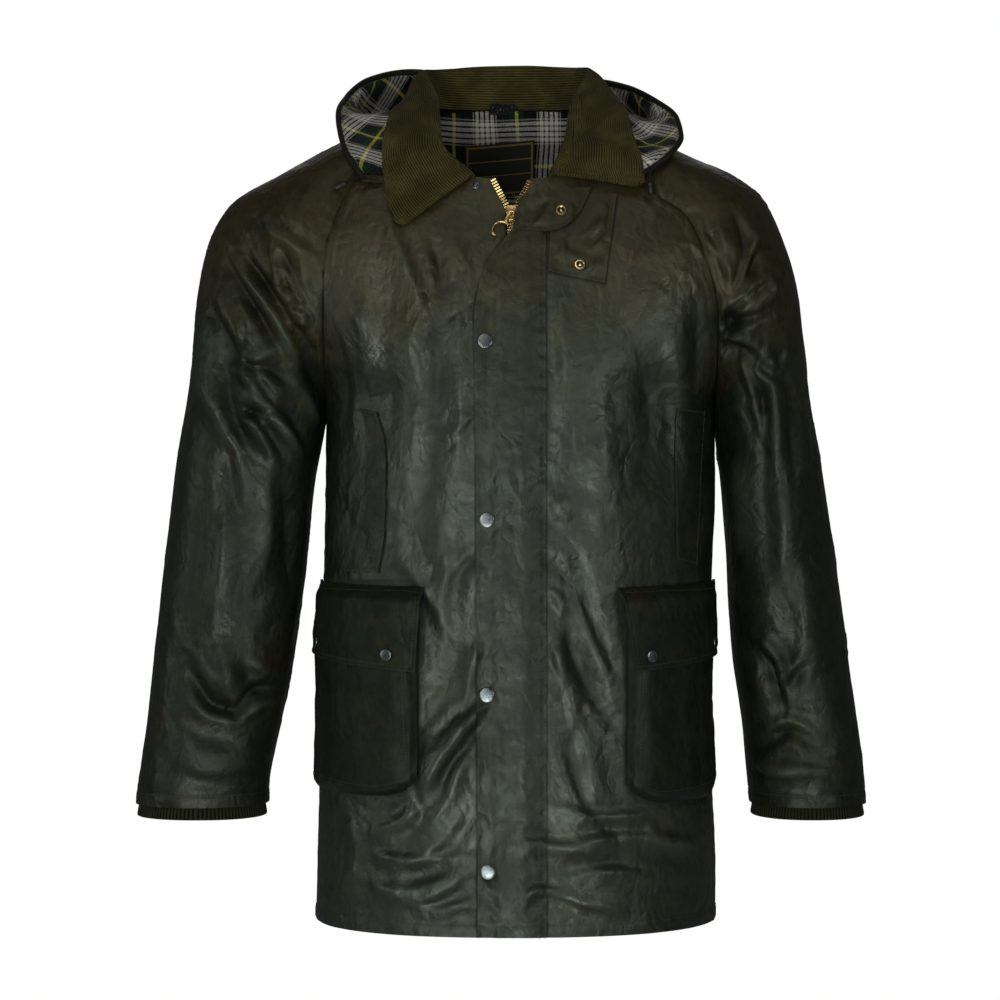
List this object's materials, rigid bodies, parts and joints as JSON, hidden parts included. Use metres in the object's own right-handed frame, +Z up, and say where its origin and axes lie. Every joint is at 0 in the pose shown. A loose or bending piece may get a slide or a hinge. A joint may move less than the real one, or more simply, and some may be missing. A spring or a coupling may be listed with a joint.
{
  "type": "hooded waxed cotton jacket",
  "caption": "Hip-length waxed cotton jacket with corduroy collar, hood, storm flap over a metal zip, welt and bellows pockets, shown filled out and open at the throat.",
  "frame": {"origin": "between the shoulders, level with the back-neck seam, where the wearer carries the jacket", "axes": "+Z up, the jacket faces -Y, +X is the wearer's left"},
  "size_m": [0.7558, 0.3485, 0.8962],
  "materials": {
    "waxed_cotton": "waxed cotton canvas, dark olive, mottled with a satin sheen",
    "corduroy": "olive-brown corduroy with fine wales",
    "rib_knit": "dark olive ribbed knit",
    "tartan_lining": "woven tartan in dark green, navy, black and white with a fine yellow line",
    "label_cloth": "dark woven label with a plain thin border, no text",
    "brass": "aged brass",
    "gunmetal": "dull gunmetal",
    "cord": "dark braided cord",
    "toggle_brown": "brown leather-like barrel",
    "toggle_black": "black moulded barrel"
  },
  "bodies": {
    "jacket": {"back": "waxed_cotton", "collar": "corduroy", "cuff_left": "rib_knit", "cuff_right": "rib_knit", "flap_turnback": "waxed_cotton", "front_left": "waxed_cotton", "front_right": "waxed_cotton", "hanger_loop": "label_cloth", "hood_cord_left": "cord", "hood_cord_right": "cord", "hood_lining": "tartan_lining", "hood_shell": "waxed_cotton", "label": "label_cloth", "lining_back": "tartan_lining", "pocket_flap_left": "waxed_cotton", "pocket_flap_right": "waxed_cotton", "pocket_left": "waxed_cotton", "pocket_right": "waxed_cotton", "sleeve_left": "waxed_cotton", "sleeve_right": "waxed_cotton", "snap_front_1": "gunmetal", "snap_front_2": "gunmetal", "snap_front_3": "gunmetal", "snap_front_4": "gunmetal", "snap_pocket_left_1": "gunmetal", "snap_pocket_left_2": "gunmetal", "snap_pocket_right_1": "gunmetal", "snap_pocket_right_2": "gunmetal", "socket_tab": "brass", "socket_turnback": "brass", "storm_flap": "waxed_cotton", "stud_collar": "gunmetal", "throat_tab": "waxed_cotton", "toggle_left": "toggle_black", "toggle_right": "toggle_brown", "welt_left": "waxed_cotton", "welt_right": "waxed_cotton", "zip_chain_left": "brass", "zip_chain_right": "brass", "zip_slider": "brass"},
    "pull_tab": {"zip_pull": "brass"}
  },
  "joints": [
    {"name": "pull_tilt", "type": "hinge", "parent": "jacket", "child": "pull_tab", "pos_m": [-0.0008, -0.1159, -0.1253], "axis": [-1, 0, 0], "range_deg": [0, 150]}
  ]
}
